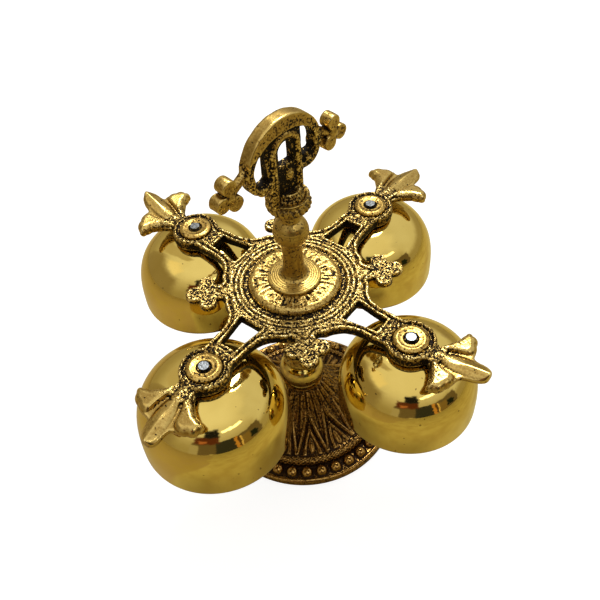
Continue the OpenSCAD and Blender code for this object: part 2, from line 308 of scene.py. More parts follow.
def frame_outline(u, v):
    """Distance to the outline of hub, ribs and boss in plan, for a point folded beside the arm."""
    web = polygon_field(u, v, WEB)
    web = np.minimum(web, np.hypot(u, v) - HUB_R)
    web = blend_min(web, np.hypot(u - ARM_REACH, v) - BOSS_R, 1.5)
    return blend_max(web, BAY[2] - np.hypot(u - BAY[0], v - BAY[1]), 1.0)


def bud_outline(u, v):
    """Distances to the three-lobed bud on the diagonal between two arms, and to the bud with its neck."""
    along, across = (u + v) * math.sqrt(0.5), np.abs(u - v) * math.sqrt(0.5)
    neck = blend_max(across - 5.0, np.abs(along - 38) - 8, 0.8)
    bud = np.hypot(u - 32.8, v - 32.8) - 6.1
    for cx, cy, r in BUD_LOBES:
        bud = blend_min(bud, np.hypot(u - cx, v - cy) - r, 1.3)
    return bud, blend_min(bud, neck, 1.5)


def spokes(x, y):
    """Noise in short radial streaks round the centre, for the chased marks on the plateau."""
    return noise(np.stack([np.arctan2(y, x) * 17, np.hypot(x, y) / 3.4, 0 * x], -1), 1.0, 31)


def frame_top(u, v, outline, window, bud):
    """Height of the casting's upper face: beads, engraved lines, rings, boss and plateau."""
    reach = np.hypot(u, v)
    along, across = (u + v) * math.sqrt(0.5), np.abs(u - v) * math.sqrt(0.5)
    wedge = np.maximum(across - 2.9 - (40 - along) * 0.75, along - 43)
    inset = -blend_min(outline, wedge, 2.0)
    beyond_hub = ease(reach, 32.0, 33.6)
    top = FRAME_TOP + beyond_hub * (0.35 * bead(inset, 1.05, 1.1) - 1.0 * groove(inset, 2.4, 0.5))
    top = top + 0.3 * bead(window, 1.0, 1.0) - 0.5 * groove(window, 2.2, 0.42)
    for line in RING_LINES:
        top = top - 0.8 * groove(reach, line, 0.38)
    boss = np.hypot(u - ARM_REACH, v)
    turn = np.arctan2(v, u - ARM_REACH)
    strands = 0.26 * np.sin(26 * turn + 2.2 * (boss - 10.8))
    top = top + (0.75 + strands) * bead(boss, 10.9, 1.5) - 0.6 * ease(-boss, -9.6, -9.0)
    top = top + 0.25 * groove(boss, 9.4, 0.3)
    top = top + 0.25 * bead(bud, -1.1, 1.1) * (bud < 0)
    moat = ease(reach, PLATEAU_R - 0.2, PLATEAU_R + 0.4) * ease(-reach, -MOAT_R - 1.2, -MOAT_R + 0.3)
    top = top * (1 - moat) + (FRAME_TOP - 1.3) * moat
    edge = np.clip((reach - PLATEAU_R + 3.4) / 3.4, 0, 1)
    dish = PLATEAU_TOP - 1.9 * edge ** 2.2
    dish = dish - 0.4 * ease(spokes(u, v), 0.3, 0.5) * ease(reach, 13, 15) * (1 - edge)
    plate = 1 - ease(reach, PLATEAU_R - 0.2, PLATEAU_R + 0.2)
    return top * (1 - plate) + dish * plate


def cross_frame_field(x, y, z):
    """Signed distance to the whole casting: x and y are columns above 0, z is a row of heights.
    Every arm and bud is alike here, so one eighth of the plan is folded over all the others."""
    u, v = np.maximum(x, y), np.minimum(x, y)
    outline = frame_outline(u, v)
    window = polygon_field(u, v, WINDOW)
    bud, bud_and_neck = bud_outline(u, v)
    top = frame_top(u, v, outline, window, bud)
    plan = blend_max(blend_min(outline, bud_and_neck, 3.6), -window, 0.8)
    body = blend_max(plan[:, None], (z - top[:, None]) * 0.9, 0.8)
    body = blend_max(body, FRAME_BOTTOM - z, 1.0)
    under = FRAME_TOP - BUD_THICK - 2.9 * ease(outline, 2.5, 0.0)
    body = blend_max(body, under[:, None] - z, 0.8)
    body = blend_min(body, petal_field(u, v, z), 1.2)
    holes = np.maximum(STUD_HOLE_R - np.hypot(u - ARM_REACH, v), TIE_HOLE_R - np.hypot(u, v))
    return np.maximum(body, holes[:, None])


def petal_field(u, v, z):
    """The fleur-de-lis: a full, creased middle petal and two side petals that curl back to the boss."""
    a = np.abs(v)
    t = np.clip((u - 84) / (FLEUR_REACH - 84), 0, 1)
    widest, half_width = 0.6, 5.7
    swelling = half_width * (1 - np.abs((t - widest) / 0.62) ** 2) ** 0.5
    tapering = half_width * np.clip(1 - np.abs((t - widest) / 0.4) ** 2.6, 0, 1) ** (1 / 2.6)
    swell = np.where(t < widest, swelling, tapering)
    wide = np.maximum(swell * ease(t, -0.45, 0.5), 3.6 - 4.0 * t)
    middle = blend_max(a - wide, u - FLEUR_REACH + 0.2, 0.8)
    middle = blend_max(middle, 82 - u, 1.0)
    dome = np.sqrt(np.clip(1 - (a / np.maximum(wide, 0.5)) ** 2, 0, 1))
    middle_top = 112.2 + (3.9 - 0.4 * t) * dome + 0.6 * np.clip(1 - a / 2.2, 0, 1) * ease(t, 0.4, 0.7)
    side = limb_field(u, a, 0 * u, [(px, py, 0, r) for px, py, r in SIDE_PETAL])
    side = blend_max(side, wide - a, 0.5)
    side_top = 112.4 + 3.9 * np.sqrt(1 - (1 - np.clip(-side / 3.6, 0, 1)) ** 2)
    side_top = side_top - 2.7 * groove(a, wide + 0.5, 0.9) * ease(u, 88, 91)
    web = blend_min(middle, side, 7.0)
    neck = blend_max(a - 5.3 - 0.12 * np.clip(u - 84, 0, 9), np.abs(u - 83.5) - 6.5, 1.6)

    def slab(plan, top, base):
        """The plan between two heights, which may vary over it."""
        part = blend_max(plan[:, None], (z - (top + 0 * t)[:, None]) * 0.8, 0.7)
        return blend_max(part, (base + 0 * t)[:, None] - z, 1.2)

    neck = slab(neck, FRAME_TOP - 0.3, 110.7)
    middle = blend_min(slab(middle, middle_top, 110.8 + 0.8 * t), neck, 1.4)
    side = blend_min(slab(side, side_top, 111.2), neck, 1.4)
    return np.minimum(blend_min(middle, side, 0.35), slab(web, 113.9, 110.9))


# Each fleur-de-lis is a little different by hand: bent to the left of the arm, bent up, and its middle, left
# and right petals drawn out along the arm
FLEUR_BEND = {"front": (3.4, -2.6, 0.0, 0.3, 1.6), "right": (1.5, 2.8, -3.2, -3.2, -3.2),
              "back": (-3.3, -1.0, 0.0, 4.0, 0.6), "left": (-3.3, 5.6, -3.0, 0.0, 0.0)}


def cross_frame_mesh(cell):
    """Points and faces of the whole casting, mirrored from one quarter of it."""
    half = math.ceil((FLEUR_REACH + 2) / cell) * cell
    axis = np.arange(0.5 * cell, half, cell)
    height = np.arange(FRAME_BOTTOM - 2 * cell, PLATEAU_TOP + 2.5 * cell, cell)
    x, y = np.meshgrid(axis, axis, indexing="ij")
    reached = (np.hypot(x, y) < 62) | (np.minimum(x, y) < 26)
    outside = 3.0
    field = np.full(x.shape + height.shape, outside)
    field[reached] = cross_frame_field(x[reached], y[reached], height[None, :])
    field = np.concatenate([field[::-1], field], 0)
    field = np.concatenate([field[:, ::-1], field], 1)
    return surface_net(field, (-axis[-1], -axis[-1], height[0]), cell)


def bend_fleurs(points):
    """Gives each fleur-de-lis its own bend and petal lengths, in place."""
    for arm, (sideways, up, middle, left, right) in FLEUR_BEND.items():
        angle = math.radians(ARM_TURN[arm])
        along = np.array([math.cos(angle), math.sin(angle)])
        across = np.array([-along[1], along[0]])
        out = points[:, :2] @ along
        beside = points[:, :2] @ across
        near = np.abs(beside) < 24
        drawn = middle + (left - middle) * ease(beside, 4, 9) + (right - middle) * ease(-beside, 4, 9)
        bend = ease(out, 80, 80 + 2 * (FLEUR_REACH - 80)) * 2 * near
        points[:, :2] += (bend * sideways)[:, None] * across
        points[:, 2] += bend * up
        points[:, :2] += (drawn * near * ease(out, 80, 94))[:, None] * along


def build_cross_frame():
    points, faces = cross_frame_mesh(FINE)
    bend_fleurs(points)
    reach = np.abs(points[:, :2]).max(1)
    from_middle = np.hypot(points[:, 0], points[:, 1])
    plateau = ease(-from_middle, -PLATEAU_R - 0.5, -PLATEAU_R + 0.5)
    rough = 1.0 - ease(reach, 85, 92) - 0.8 * plateau
    points[:, 2] += 0.13 * rough * noise(points, 1.3, 11) + 0.10 * noise(points, 7.0, 12)
    points[:, :2] += 0.10 * np.stack([noise(points, 5.0, 13), noise(points, 5.0, 14)], 1)
    limit = FLEUR_REACH - 0.02
    points[:, :2] = np.clip(points[:, :2], -limit, limit)
    piece = make_mesh("cross_frame_casting", points, faces)
    normals = mark_hollows(piece)
    # Painted shade on the side walls and undersides below the top face, darkest in the windows; dark boss
    # seats and chased marks; petals and the webs between them rubbed bright
    across = np.minimum(np.abs(points[:, 0]), np.abs(points[:, 1]))
    boss = np.hypot(reach - ARM_REACH, across)
    wall = ease(-normals[:, 2], -0.7, -0.3) * ease(-points[:, 2], -FRAME_TOP + 0.2, -FRAME_TOP + 1.4)
    window = ease(-np.abs(polygon_field(reach, across, WINDOW)), -1.6, -0.6)
    web = ease(-points[:, 2], -114.6, -114.1) * ease(normals[:, 2], 0.2, 0.6) * (reach > 86) * (reach < 104)
    seat = ease(boss, 8.6, 9.6) * ease(-boss, -12.2, -11.2)
    dash = ease(spokes(points[:, 0], points[:, 1]), 0.3, 0.55) * ease(-from_middle, -22.5, -20.5)
    # Painted shade on the walls and undersides, with the boss seats and chased marks darkened as patina
    shade_and_patina = np.maximum.reduce([wall * (0.62 + 0.7 * window), 0.55 * seat, 0.9 * dash])
    petals = ease(reach, 80, 90)
    ribs = ease(reach, 40, 46) * ease(-reach, -66, -58)
    shade_and_patina = shade_and_patina + (0.16 + 0.14 * ribs) * rough - 0.32 * plateau - (0.45 + 0.3 * web) * petals
    store(piece, "shade_and_patina", shade_and_patina)
    store(piece, "gloss", 0.4 * petals)
    grain = (1.0 - 0.86 * ease(reach, 84, 97)) * (1 - 0.55 * plateau) * (1 - 0.65 * wall)
    store(piece, "grain", grain)
    return piece


# ---------------------------------------------------------------- grip
GRIP_TOP = box_mm("grip")[1][2]
GRIP_TURN = math.radians(82.0)
GRIP_SHIFT = -2.2  # from the stem's axis to the plate's middle
GRIP_STRETCH = 1.1
GRIP_HALF = 3.3  # half its thickness
ARCH_R = 20.8
ARCH_Z = GRIP_TOP - ARCH_R
LIGHT_LOW, LIGHT_SPRING = 190.4, 199.8  # sill and springing of the lights
# Along the plate from its middle, through it and up, and the radius
STALK = [(19.8, 0, 198.2, 2.6), (23, 0, 196.8, 2.3), (28, 0, 194.2, 2.3), (31.6, 0, 192.8, 2.8)]
# Along the plate and up, and the radius
END_LOBES = ((31.5, 198.4, 3.8), (35.7, 191.4, 3.8), (28.8, 188.6, 3.9))


def grip_outline(side, z):
    """Distances to the round arch, and to the whole outline with the lobe at each foot and the panel."""
    arch = blend_max(np.hypot(side, z - ARCH_Z) - ARCH_R, 192 - z, 1.5)
    lobe = np.hypot(side - 12.5, z - 192.2) - 7.8
    panel = polygon_field(side, z, [(-9, 171), (8.7, 171), (9.5, 184), (9.7, 198), (-9, 198)])
    return arch, blend_min(blend_min(arch, lobe, 1.0), panel, 1.5)


def grip_side(s):
    """Folds both halves of the grip together, and makes the plate a little wider than its arch is high."""
    return np.abs(s) - GRIP_STRETCH * np.clip(np.abs(s) / 22, 0, 1)


def grip_field(s_from_stem, t, z):
    """Signed distance to the pierced grip: s along the plate, t through it, z up."""
    s = s_from_stem - GRIP_SHIFT
    side = grip_side(s)
    depth = np.abs(t)
    arch, outline = grip_outline(side, z)
    # Lights, cut right through
    from_middle = np.abs(s - 0.8)
    around_middle = np.where(z > LIGHT_SPRING, np.hypot(from_middle, z - LIGHT_SPRING), from_middle)
    middle_light = blend_max(around_middle - 4.2, LIGHT_LOW + 1.6 - z, 0.8)
    side_light = blend_max(np.abs(side - 13.5) - 3.5, np.hypot(side, (z - ARCH_Z) * 1.25) - 17.2, 1.0)
    side_light = blend_max(side_light, LIGHT_LOW - 2.0 + 3.0 * (s > 0) - z, 1.0)
    # A sunk web, and on both faces the raised rim, arch band and mullions
    body = blend_max(outline, depth - 2.35, 0.5)
    rim = blend_max(np.abs(-outline - 1.5) - 1.5, depth - GRIP_HALF, 0.9)
    inner = (np.hypot(side / 17.6, (z - ARCH_Z) / 13.4) - 1) * 15
    band = blend_max(blend_max(arch, -inner, 0.6), depth - GRIP_HALF, 0.7)
    mullion = (np.hypot((around_middle - 7.4) / 2.4, t / 3.6) - 1) * 2.3
    body = blend_min(body, rim, 0.5)
    body = blend_min(body, band, 0.4)
    body = blend_min(body, blend_max(mullion, np.abs(z - 191) - 20, 1.0), 0.5)
    body = blend_max(body, -middle_light, 0.6)
    body = blend_max(body, -side_light, 0.6)
    # Bosses: a tall oval in the panel and a button under each side light
    oval = (np.sqrt(((s - 2.3) / 0.9) ** 2 + ((z - 185.6) / 1.3) ** 2 + (depth / 0.96) ** 2) - 3.9) * 0.75
    button = np.sqrt((side - 13.3) ** 2 + (z - 184.8 - 3.2 * (s > 0)) ** 2 + (depth - 1.2) ** 2) - 2.4
    body = blend_min(body, np.minimum(oval, button), 0.5)
    # Stalk and three-lobed bud at each end
    out = side + (0.5 + 1.2 * (s > 0)) * ease(side, 20, 26)
    stalk = limb_field(out, t, z, STALK)
    bud = np.minimum.reduce([np.hypot(out - cx, z - cz) - r for cx, cz, r in END_LOBES])
    bud = blend_max(bud, depth - GRIP_HALF, 0.8)
    core = np.sqrt((out - 31.7) ** 2 + (z - 192.9) ** 2 + (t * 0.9) ** 2) - 3.6
    body = blend_min(body, blend_min(stalk, blend_min(bud, core, 0.6), 0.8), 1.0)
    # Collar that stands in the cup, on the stem's own axis
    around = np.hypot(s_from_stem, t)
    collar = blend_max(around - 6.2 - 0.6 * np.clip(176 - z, 0, 3), np.abs(z - 173.4) - 3.4, 0.8)
    return blend_min(body, collar, 0.6)


def build_grip():
    cell = FINE * 0.85
    s = np.arange(-43, 43 + cell, cell)
    t = np.arange(-9, 9 + cell, cell)
    z = np.arange(169.5, GRIP_TOP + 2, cell)
    field = grip_field(*np.meshgrid(s, t, z, indexing="ij"))
    points, faces = surface_net(field, (s[0], t[0], z[0]), cell)
    points = points + 0.12 * np.stack([noise(points, 3.0, seed) for seed in (21, 22, 23)], 1)
    s, t, height = points.T
    cos, sin = math.cos(GRIP_TURN), math.sin(GRIP_TURN)
    piece = make_mesh("grip_casting", np.stack([s * cos - t * sin, s * sin + t * cos, height], 1), faces)
    mark_hollows(piece)
    # Painted shade with patina in the sunk faces between the ribs and on the lights' walls, a little darker
    # below the arch's top, bright on the arch and the end buds
    side, depth = grip_side(s - GRIP_SHIFT), np.abs(t)
    arch, outline = grip_outline(side, height)
    inside = ease(-outline, 0.7, 1.5) * ease(-side, -21, -19)
    sunk = ease(-depth, -2.8, -2.4)
    shell = ease(arch, -0.9, -0.3) * ease(height, 201, 206)
    ends = ease(side, 23, 27)
    upper = ease(height, 203, 208)
    smooth = np.maximum(upper * (1 - sunk), ease(side, 20, 24))
    store(piece, "grain", (0.85 - 0.55 * smooth) * (1 - 0.8 * shell))
    # Painted shade in the sunk faces and on the lights' walls
    store(piece, "shade_and_patina", 1.15 * inside * sunk + 0.15 * (1 - upper) - 0.4 * ends - 0.35 * shell)
    return piece


# ---------------------------------------------------------------- foot
FOOT_HIGH = box_mm("foot")[1]
FOOT_R = FOOT_HIGH[0]
FOOT_TOP = FOOT_HIGH[2]
BEADS = 35
BEAD_R = 3.5
BEAD_RING_R = FOOT_R - 6.0
LEAVES = 13
LEAF_START = math.radians(-45.7)
LEAF_TIP_R, LEAF_BASE_R, INNER_TIP_R = 17.0, 39.2, 26.5
CONE_R, NECK_R, CONE_Z = 41.0, 11.5, 9.0
SKIN = 3.0  # thickness of the cone's wall
BORE_CEILING, BORE_R = 27.5, 3.2  # top of the hollow, and the tie rod's hole above it


def foot_cone_z(r):
    """Height of the cone's outer face over that radius."""
    return CONE_Z + (FOOT_TOP - CONE_Z) * (1 - (r - NECK_R) / (CONE_R - NECK_R)) ** 1.9


def foot_relief(turn, r, z):
    """Height of the casting's relief over the plain foot: beads, dotted ring, leaves and long petals."""
    outside = z > foot_inner_z(r) + 1.2
    pitch = 2 * np.pi / BEADS
    local = (turn + pitch / 2) % pitch - pitch / 2
    apart = np.hypot(r * np.sin(local), (r * np.cos(local) - BEAD_RING_R))
    on_floor = (r > 44.6) & (r < 52.2) & outside & (z > 3)
    beads = np.where(on_floor, np.sqrt(np.clip(BEAD_R ** 2 - apart ** 2, 0, None)) * 1.05, 0)
    on_ring = (np.abs(r - 43) < 2.2) & outside & (z > 7)
    dots = np.where(on_ring, 0.3 * np.sin(turn * BEADS * 3) * np.sin(r * 4.2) - 0.15, 0)
    on_cone = (r < CONE_R) & (r > NECK_R) & outside & (z > CONE_Z - 0.5)
    # Pointed leaves, each with a smaller one, a bud and a vein inside
    period = 2 * np.pi / LEAVES
    phi = (turn - LEAF_START + period / 2) % period - period / 2
    across = np.abs(r * np.sin(phi))
    half_period = r * math.sin(period / 2)
    t = np.clip((r - LEAF_TIP_R) / (LEAF_BASE_R - LEAF_TIP_R), 0, 1)
    leaf_half = half_period * (1 - (1 - t) ** 1.45) - 0.3
    rib = bead(across, leaf_half, 1.35) * (r > LEAF_TIP_R - 0.5) * (r < LEAF_BASE_R)
    inside_leaf = (r > LEAF_TIP_R) & (across < leaf_half)
    sunk = -0.75 * inside_leaf * ease(leaf_half - across, 0.3, 1.3)
    inner_t = np.clip((r - INNER_TIP_R) / (LEAF_BASE_R - INNER_TIP_R), 0, 1)
    inner_half = 4.6 * (1 - (1 - inner_t) ** 1.6)
    inner_rib = bead(across, inner_half, 1.15) * (r > INNER_TIP_R - 0.5) * (r < LEAF_BASE_R)
    bud = np.sqrt(np.clip(1 - (across / 1.9) ** 2 - ((r - 34.5) / 4.2) ** 2, 0, 1)) * 1.5
    vein = bead(across, 0, 1.0) * inside_leaf * (r > 18) * (r < INNER_TIP_R)
    # Long petals: two to a leaf near the neck, then one between each pair of leaves, pointed at its foot
    fine_phi = (turn - LEAF_START) % (period / 2) - period / 4
    fine_half = r * math.sin(period / 4)
    fine = np.sqrt(np.clip(1 - (np.abs(r * np.sin(fine_phi)) / (0.86 * fine_half)) ** 2, 0, 1))
    petals = fine * (1 - inside_leaf * ease(r, 17, 25)) * np.minimum(1.25, 0.11 * r)
    petals = petals * ease(r, NECK_R, NECK_R + 2)
    sunk = sunk * ease(r, 17, 26)
    leaf = 1.05 * rib * ease(r, 16, 24) + 0.9 * inner_rib + 0.5 * vein + sunk + bud * inside_leaf
    return beads + dots + np.where(on_cone, petals + leaf - 0.45, 0)


def foot_inner_z(r):
    """Height of the foot's inside wall over that radius."""
    return np.where(r > CONE_R, 0.0, foot_cone_z(np.clip(r, NECK_R, CONE_R)) - SKIN)


def build_foot():
    step, segments = ((0.42, 840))
    rim = [(FOOT_R - 5, 0, 0.3), (FOOT_R, 0, 0.5), (FOOT_R, 3.2, 0.9), (FOOT_R - 1.4, 4.3, 0.8),
           (FOOT_R - 2.6, 3.9, 0.5), (45.0, 4.2, 0.6), (44.7, 6.6, 1.2), (43.9, 8.9, 1.6), (41.6, 9.4, 0.9)]
    cone = [(r, foot_cone_z(r)) for r in np.linspace(CONE_R, NECK_R, 40)]
    bore = [(NECK_R - 0.3, FOOT_TOP, 0.4), (BORE_R, FOOT_TOP), (BORE_R, BORE_CEILING), (13, BORE_CEILING, 1)]
    hollow = [(r - 1.6, min(foot_cone_z(r) - SKIN, BORE_CEILING - 0.1))
              for r in np.linspace(NECK_R + 6.5, CONE_R, 12)]
    piece = turned("foot_casting", rounded(rim + cone + bore + hollow, step), segments, foot_relief)
    normals = mark_hollows(piece, 8, 50)
    under = ease(-normals[:, 2], 0.1, 0.5)
    points = points_mm(piece.data)
    reach = np.hypot(points[:, 0], points[:, 1])
    beads = ease(-np.abs(reach - BEAD_RING_R), -4.4, -3.4) * ease(points[:, 2], 4.6, 5.2)
    store(piece, "grain", (0.4 - 0.3 * beads) * (1 - 0.7 * under))
    store(piece, "shade_and_patina", 0.13 * beads - 0.08)
    store(piece, "gloss", 0.5 + 0.5 * beads)
    return piece


# ---------------------------------------------------------------- knop, column and stem
TIE_BORE_R = 3.3  # the tie rod's hole through knop and column


def rope(count, height, low, high, slant):
    """Relief of a rope-like ring between two heights."""
    def relief(turn, r, z):
        band = bead(z, (low + high) / 2, (high - low) / 2) * (r > 6.5)
        return height * band * np.sin(count * turn + slant * z)
    return relief


def build_knop():
    low, high = (corner[2] for corner in box_mm("knop"))
    outline = [
        (TIE_BORE_R, low), (9.9, low, 0.3), (10.1, low + 1.0, 0.5), (9.2, low + 1.8, 0.5),
        (9.6, low + 2.6, 0.6), (12.4, low + 4.6, 2.4), (13.1, low + 9.5, 5.0), (11.4, low + 14.4, 3.0),
        (8.4, low + 16.4, 1.2), (8.5, high, 0.3), (TIE_BORE_R, high)]
    return turned("knop_turned", rounded(outline, 0.5), 160)


def build_column():
    low, high = (corner[2] for corner in box_mm("column"))
    outline = [
        (TIE_BORE_R, low), (10, low, 0.4), (10, low + 2.2, 0.8), (7.4, low + 4.5, 1.5), (6.7, 74, 1),
        (8.4, 75, 0.7), (8.4, 77, 0.7), (6.7, 78, 1), (7.3, 97, 3), (9.6, 103, 2.5), (15.3, 107.4, 1.2),
        (15.4, high, 0.3), (TIE_BORE_R, high)]
    return turned("column_turned", rounded(outline, 0.6), 128)


def build_stem():
    low, high = (corner[2] for corner in box_mm("handle_stem"))
    ball, ball_r = 150.6, 9.0
    angles = np.radians(np.linspace(-52, 55, 24))
    ball_line = [(ball_r * math.cos(a), ball + ball_r * math.sin(a)) for a in angles]
    flange_and_neck = [
        (3.2, low), (13.8, low, 0.3), (13.8, low + 1.5, 0.35), (12.9, low + 1.9, 0.4), (6.6, low + 3.1, 1.6),
        (5.3, low + 6.5, 2.5), (5.1, ball - 9.4, 0.8), (5.6, ball - 8.0, 0.5)]
    cup = [
        (5.0, ball + 8.3, 0.8), (4.9, 162.6, 1.2), (7.2, 164.2, 1.4), (9.6, 165.6, 0.9), (10.6, 167.2, 0.9),
        (10.8, 169.6, 0.9), (9.8, 171.0, 0.6), (9.7, 171.8, 0.5), (10.3, 172.4, 0.5), (10.2, high, 0.4)]
    inside = [
        (8.6, high, 0.4), (7.2, high - 1.6, 0.6), (6.1, 170.4, 0.3), (6.1, 169, 0.2),
        (2.1, 169), (2.1, 158), (3.2, 157.6)]
    outline = rounded(flange_and_neck + ball_line + cup + inside, 0.4)
    piece = turned("handle_stem_turned", outline, 200, rope(24, 0.34, 166.2, 170.9, 0.9))
    mark_hollows(piece, 6, 40)
    # Painted shade: the cup under the grip is stored darker
    store(piece, "shade_and_patina", ease(points_mm(piece.data)[:, 2], 160, 164))
    return piece


# ---------------------------------------------------------------- bells and what hangs in them
def build_bell(arm):
    low, high = box_mm("bell_" + arm)
    centre = (low + high) / 2
    radius = (high[0] - low[0]) / 2
    mouth, crown = low[2], high[2]
    base = mouth + 0.16 * radius  # height of the widest ring
    wall = 2.2
    power = 2.8  # 2 would make the dome an ellipse, and more makes it squarer
    hole = 2.65

    def dome(r, rise):
        """The dome's outline from its widest ring to the hole in its crown."""
        stop = math.asin((1 - (hole / r) ** power) ** (1 / power))
        angles = np.linspace(0, stop, 72)
        return [(r * (1 - math.sin(a) ** power) ** (1 / power), base + rise * math.sin(a)) for a in angles]

    outer = [(radius - 0.35, mouth, 0.35), (radius - 0.06, mouth + 1.2, 0.8)] + dome(radius, crown - base)
    inner = dome(radius - wall, crown - base - wall)[::-1]
    inner += [(radius - wall - 0.5, mouth + 1.5, 0.6), (radius - wall - 0.5, mouth, 0.3)]
    return turned("bell_" + arm + "_spun", rounded(outer + inner, 0.9), 256, centre=centre[:2])


def build_boss_disc(arm):
    angle = math.radians(ARM_TURN[arm])
    centre = (ARM_REACH * math.cos(angle), ARM_REACH * math.sin(angle))
    low, high = NUT_LOW[2] - 0.4, NUT_HIGH[2]
    bore = 2.55
    outline = [
        (bore, low), (BOSS_DISC_R, low, 0.2), (BOSS_DISC_R, high - 0.7, 0.5),
        (BOSS_DISC_R - 1.5, high - 0.1, 0.7), (6.6, high, 0.5), (5.2, high - 0.35, 0.6),
        (3.8, high - 0.4, 0.4), (3.2, high - 1.4, 0.3), (bore, high - 1.4)]
    piece = turned("boss_disc_" + arm, rounded(outline, 0.3), 96, centre=centre)
    mark_hollows(piece, 6, 24)
    points = points_mm(piece.data)
    reach = np.hypot(points[:, 0] - centre[0], points[:, 1] - centre[1])
    # Painted shade in the sunk ring round the stud's hole
    store(piece, "shade_and_patina", 0.9 * ease(-reach, -4.3, -3.5))
    store(piece, "grain", np.full(len(points), 0.35))
    return piece


# ---------------------------------------------------------------- materials
def link_or_set(tree, socket, value):
    if isinstance(value, bpy.types.NodeSocket):
        tree.links.new(value, socket)
    else:
        socket.default_value = value


def add(tree, kind, inputs=None, **settings):
    """Adds a node, sets its options, and links or sets its inputs by name or number."""
    made = tree.nodes.new("ShaderNode" + kind)
    for name, value in settings.items():
        setattr(made, name, value)
    for name, value in (inputs or {}).items():
        link_or_set(tree, made.inputs[name], value)
    return made


def calculate(tree, operation, a, b=0.0):
    return add(tree, "Math", {0: a, 1: b}, operation=operation).outputs[0]


def plus(tree, a, b):
    return calculate(tree, "ADD", a, b)


def times(tree, a, b):
    return calculate(tree, "MULTIPLY", a, b)


def weigh(tree, value, middle, gain):
    """How far the value is above its middle, times the gain."""
    return times(tree, calculate(tree, "SUBTRACT", value, middle), gain)


def spread(tree, value, low, high, out_low=0.0, out_high=1.0):
    """Maps low..high to out_low..out_high with a soft start and end."""
    return add(tree, "MapRange", {0: value, 1: low, 2: high, 3: out_low, 4: out_high},
               interpolation_type="SMOOTHSTEP").outputs[0]


def mix_colour(tree, share, a, b):
    return add(tree, "Mix", {0: share, 6: a, 7: b}, data_type="RGBA").outputs[2]


def rgb(r, g, b):
    return (r, g, b, 1.0)


def noise_value(tree, place, size_mm, detail=3.0, rough=0.55):
    """Noise whose features are about size_mm across."""
    settings = {"Vector": place, "Scale": 1000.0 / size_mm, "Detail": detail, "Roughness": rough}
    return add(tree, "TexNoise", settings).outputs[0]


def stored(tree, name):
    """A number that a piece keeps for each vertex, 0 where it keeps none."""
    return add(tree, "Attribute", attribute_name=name).outputs["Fac"]


def new_material(name):
    material = bpy.data.materials.new(name)
    material.use_nodes = True
    tree = material.node_tree
    tree.nodes.clear()
    shader = add(tree, "BsdfPrincipled")
    add(tree, "OutputMaterial", {"Surface": shader.outputs[0]})
    place = add(tree, "TexCoord").outputs["Object"]
    return material, tree, shader, place


def set_surface(tree, shader, colour, metallic, roughness, height, strength, distance):
    """Fills the shader: distance is the bump's depth in metres."""
    bump = add(tree, "Bump", {"Strength": strength, "Distance": distance, "Height": height})
    link_or_set(tree, shader.inputs["Base Color"], colour)
    link_or_set(tree, shader.inputs["Metallic"], metallic)
    link_or_set(tree, shader.inputs["Roughness"], roughness)
    link_or_set(tree, shader.inputs["Normal"], bump.outputs[0])


def antique_brass(name, tone=(1.0, 1.0, 1.0), dirt=0.0, relief=1.0, deep=(0.008, 0.005, 0.003)):
    """Cast brass with wax-black patina in its hollows and grain, rubbed bright on its edges, and darkened by
    the painted shade that each piece stores on its walls, undersides and sunk faces.
    """
    def toned(r, g, b):
        return rgb(r * tone[0], g * tone[1], b * tone[2])

    material, tree, shader, place = new_material(name)
    grain = stored(tree, "grain")
    pits = noise_value(tree, place, 1.05, 2.5, 0.6)
    blots = noise_value(tree, place, 3.4, 2.0)
    holes = noise_value(tree, place, 2.1, 1.5)
    clouds = noise_value(tree, place, 10.0, 3.0)
    # Depth in the patina and in the painted shade each piece stores: above 0 it is dark, below 0 rubbed
    depth = plus(tree, times(tree, stored(tree, "groove"), 5.0), stored(tree, "hollow"))
    speck = plus(tree, weigh(tree, pits, 0.50, 18.0), weigh(tree, blots, 0.48, 4.5))
    depth = plus(tree, depth, times(tree, speck, grain))
    depth = plus(tree, depth, spread(tree, holes, 0.66, 0.72, 0.0, 1.6))
    depth = plus(tree, depth, weigh(tree, clouds, 0.5 - dirt, 1.2))
    # Painted shade: the darkening a piece stores pushes its walls, undersides and sunk faces into the dark
    # patina colours
    depth = plus(tree, depth, times(tree, stored(tree, "shade_and_patina"), 1.5))
    patina_and_shade = spread(tree, depth, 0.0, 0.65)
    rubbed = spread(tree, depth, -0.1, -1.7)
    glint = spread(tree, depth, -1.9, -3.5)
    brass = mix_colour(tree, clouds, toned(0.29, 0.175, 0.040), toned(0.42, 0.27, 0.068))
    brass = mix_colour(tree, rubbed, brass, toned(0.62, 0.445, 0.14))
    brass = mix_colour(tree, glint, brass, toned(0.98, 0.82, 0.40))
    aged_and_shaded = mix_colour(tree, spread(tree, patina_and_shade, 0.0, 0.6), brass, rgb(0.10, 0.05, 0.013))
    aged_and_shaded = mix_colour(tree, spread(tree, patina_and_shade, 0.45, 1.0), aged_and_shaded, rgb(*deep))
    metallic = spread(tree, patina_and_shade, 0.5, 1.0, 1.0, 0.3)
    rough = plus(tree, spread(tree, rubbed, 0, 1, 0.32, 0.24), times(tree, patina_and_shade, 0.25))
    rough = calculate(tree, "SUBTRACT", rough, times(tree, stored(tree, "gloss"), 0.16))
    height = times(tree, calculate(tree, "SUBTRACT", 1.0, pits), grain)
    shader.inputs["Specular IOR Level"].default_value = 0.12
    set_surface(tree, shader, aged_and_shaded, metallic, rough, height, 1.0, 0.00042 * relief)
    return material


